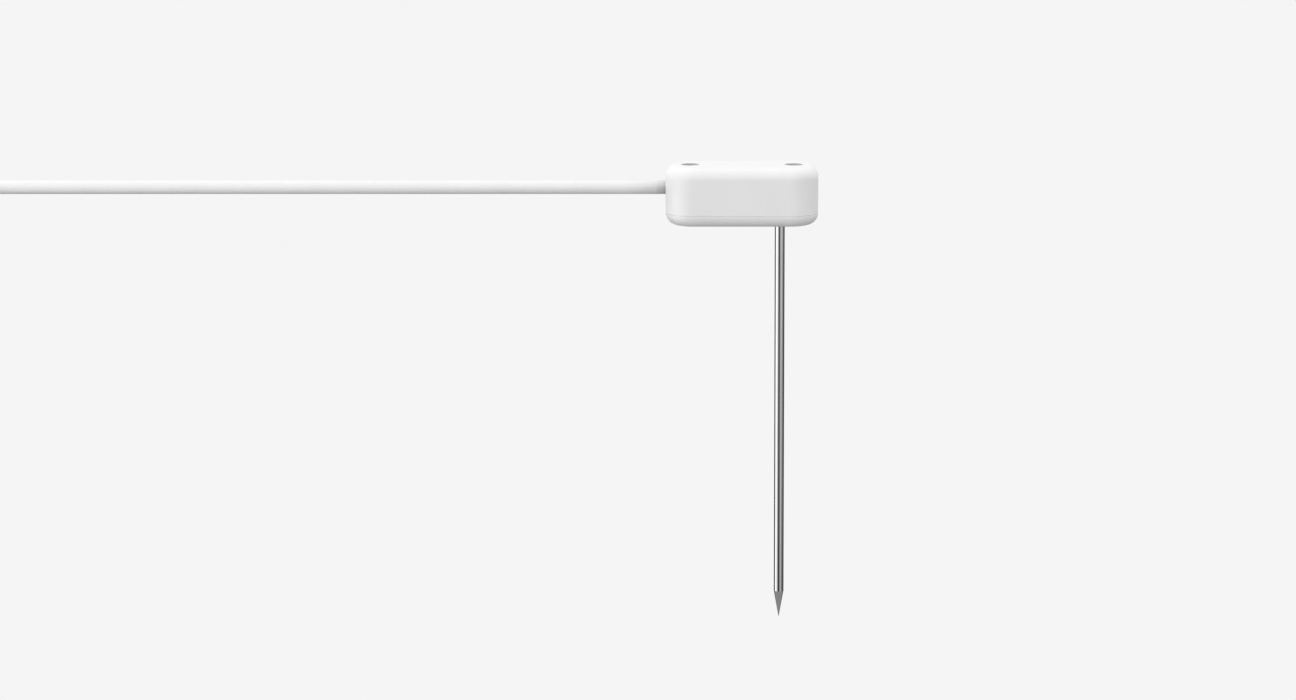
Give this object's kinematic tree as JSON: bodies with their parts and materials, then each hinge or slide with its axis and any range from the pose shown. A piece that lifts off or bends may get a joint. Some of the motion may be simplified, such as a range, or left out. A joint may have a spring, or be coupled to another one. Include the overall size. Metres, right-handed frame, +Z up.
{
  "type": "soil thermometer probe",
  "caption": "Small rounded white head with a long pointed steel needle below one end and a round lead from the other end, wound into a tied hank with a screw-lock plug.",
  "frame": {"origin": "on the needle's axis, at the head's underside", "axes": "+Z up, out of the soil along the needle; the lead leaves the head along -X; +Y away from the viewer"},
  "size_m": [0.419, 0.0438, 0.1571],
  "materials": {
    "head_plastic": "moulded, slightly glossy white",
    "gasket_silicone": "soft white silicone",
    "seal_rubber": "matte black",
    "fastener_steel": "bright stainless",
    "insert_brass": "turned",
    "washer_steel": "stamped stainless",
    "needle_steel": "polished stainless",
    "board_laminate": "green solder mask",
    "chip_plastic": "moulded black",
    "passive_ceramic": "tinned ends",
    "terminal_plastic": "light grey",
    "bead_epoxy": "epoxy",
    "lead_insulation": "coloured insulation",
    "thermal_potting": "white filled epoxy",
    "sleeve_plastic": "translucent white",
    "grommet_rubber": "soft white",
    "cable_jacket": "satin white",
    "tie_fabric": "hook and loop strap",
    "plug_plastic": "moulded white",
    "ring_nickel": "nickel plated",
    "insert_plastic": "black",
    "pin_gold": "gold plated"
  },
  "bodies": {
    "probe": {"upper_housing": "head_plastic", "base_tray": "head_plastic", "base_gasket": "gasket_silicone", "needle_o_ring": "seal_rubber", "plug_o_ring": "seal_rubber", "screw_seal_washers": "seal_rubber", "housing_screws": "fastener_steel", "board_screws": "fastener_steel", "ring_clip": "fastener_steel", "threaded_inserts": "insert_brass", "needle_collar": "insert_brass", "gland_washer": "washer_steel", "needle_tube": "needle_steel", "needle_tip": "needle_steel", "circuit_board": "board_laminate", "signal_chip": "chip_plastic", "board_passives": "passive_ceramic", "cable_terminal": "terminal_plastic", "sensor_terminal": "terminal_plastic", "thermistor_bead": "bead_epoxy", "sensor_leads": "lead_insulation", "cable_cores": "lead_insulation", "thermal_filler": "thermal_potting", "lead_sleeve": "sleeve_plastic", "cable_grommet": "grommet_rubber", "cable_tail": "cable_jacket", "cable": "cable_jacket", "cable_hank": "cable_jacket", "cable_end": "cable_jacket", "hank_tie": "tie_fabric", "plug_strain_relief": "plug_plastic", "plug_body": "plug_plastic", "plug_insert": "insert_plastic", "plug_pins": "pin_gold"},
    "coupling_ring": {"plug_coupling_ring": "ring_nickel"}
  },
  "joints": [
    {"name": "coupling_ring_spin", "type": "hinge", "parent": "probe", "child": "coupling_ring", "pos_m": [-0.375, 0, 0.0048], "axis": [-1, 0, 0], "continuous": true}
  ]
}
